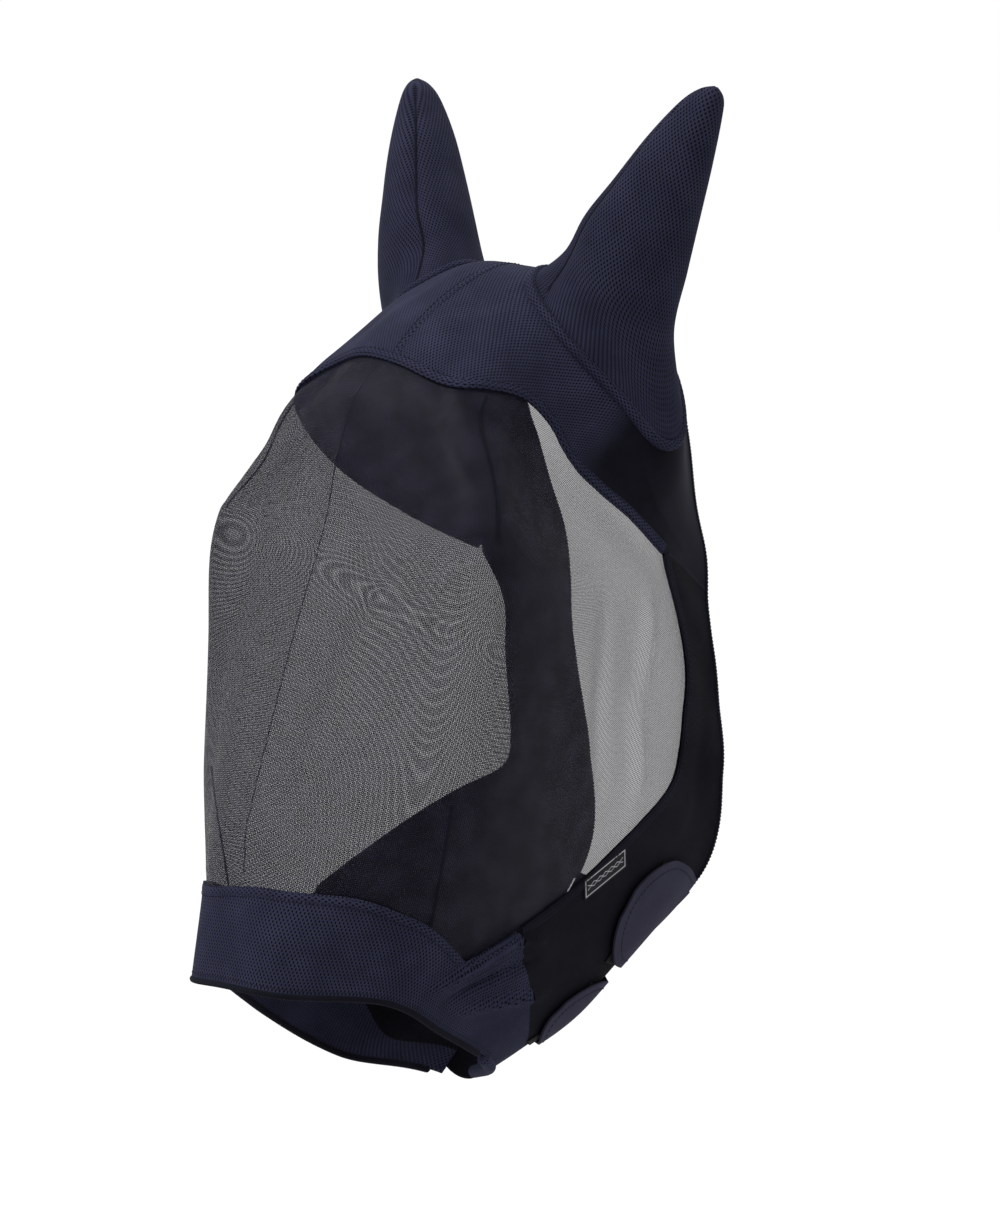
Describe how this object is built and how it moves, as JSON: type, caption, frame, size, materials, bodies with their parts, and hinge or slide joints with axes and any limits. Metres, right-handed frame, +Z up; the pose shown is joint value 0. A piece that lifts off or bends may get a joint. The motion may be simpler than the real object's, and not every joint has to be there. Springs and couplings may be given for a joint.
{
  "type": "horse fly mask",
  "caption": "Mesh hood for a horse's head with darted eye space, two ear covers, a nose band and a flap under the jaw closed by two touch-tape tabs.",
  "frame": {"origin": "seat on the poll: the inside of the hood on its middle line, between the ears", "axes": "+Z up, the horse faces -Y, +X is the horse's left side"},
  "size_m": [0.267, 0.3878, 0.6162],
  "materials": {
    "net": "fine see-through polyester net, matt",
    "spacer_mesh": "navy three-dimensional spacer mesh with small holes",
    "soft_panel": "dark navy smooth knit, matt",
    "dark_tape": "black woven tape, ribbed",
    "binding": "ribbed elastic binding, dark navy",
    "tab_cloth": "smooth brushed navy tab cloth",
    "touch_tape": "black hook and loop tape",
    "label": "black woven label with a pale border"
  },
  "bodies": {
    "hood": {"face_net": "net", "net_centre_tape": "dark_tape", "dart_tape_upper_left": "dark_tape", "dart_tape_upper_right": "dark_tape", "dart_tape_lower_left": "dark_tape", "dart_tape_lower_right": "dark_tape", "brow_panel_left": "spacer_mesh", "brow_panel_right": "spacer_mesh", "brow_seam_tape": "spacer_mesh", "brow_hem": "spacer_mesh", "window_tape_left": "dark_tape", "window_tape_right": "dark_tape", "nose_tape": "spacer_mesh", "cheek_panel_left": "soft_panel", "cheek_panel_right": "soft_panel", "cheek_seam_tape_left": "dark_tape", "cheek_seam_tape_right": "dark_tape", "nose_band": "spacer_mesh", "nose_rim_binding": "binding", "chin_roll": "spacer_mesh", "rear_edge_binding": "binding", "ear_left_outer": "spacer_mesh", "ear_left_inner": "spacer_mesh", "ear_right_outer": "spacer_mesh", "ear_right_inner": "spacer_mesh", "ear_welt_left": "spacer_mesh", "ear_welt_right": "spacer_mesh", "label_patch": "label", "loop_patch_upper": "touch_tape", "loop_patch_lower": "touch_tape"},
    "closure_flap": {"closure_flap": "soft_panel"},
    "upper_tab": {"tab_upper": "tab_cloth", "hook_patch_upper": "touch_tape"},
    "lower_tab": {"tab_lower": "tab_cloth", "hook_patch_lower": "touch_tape"}
  },
  "joints": [
    {"name": "flap_hinge", "type": "hinge", "parent": "hood", "child": "closure_flap", "pos_m": [-0.02758, 0.03952, -0.44824], "axis": [-0.1985, 0.8278, 0.5247], "range_deg": [0, 70]},
    {"name": "upper_tab_peel", "type": "hinge", "parent": "closure_flap", "child": "upper_tab", "pos_m": [0.04871, 0.09061, -0.41497], "axis": [0.2261, 0.7443, 0.6284], "range_deg": [0, 80]},
    {"name": "lower_tab_peel", "type": "hinge", "parent": "closure_flap", "child": "lower_tab", "pos_m": [0.03063, 0.02284, -0.4612], "axis": [0.1715, 0.851, 0.4964], "range_deg": [0, 80]}
  ]
}
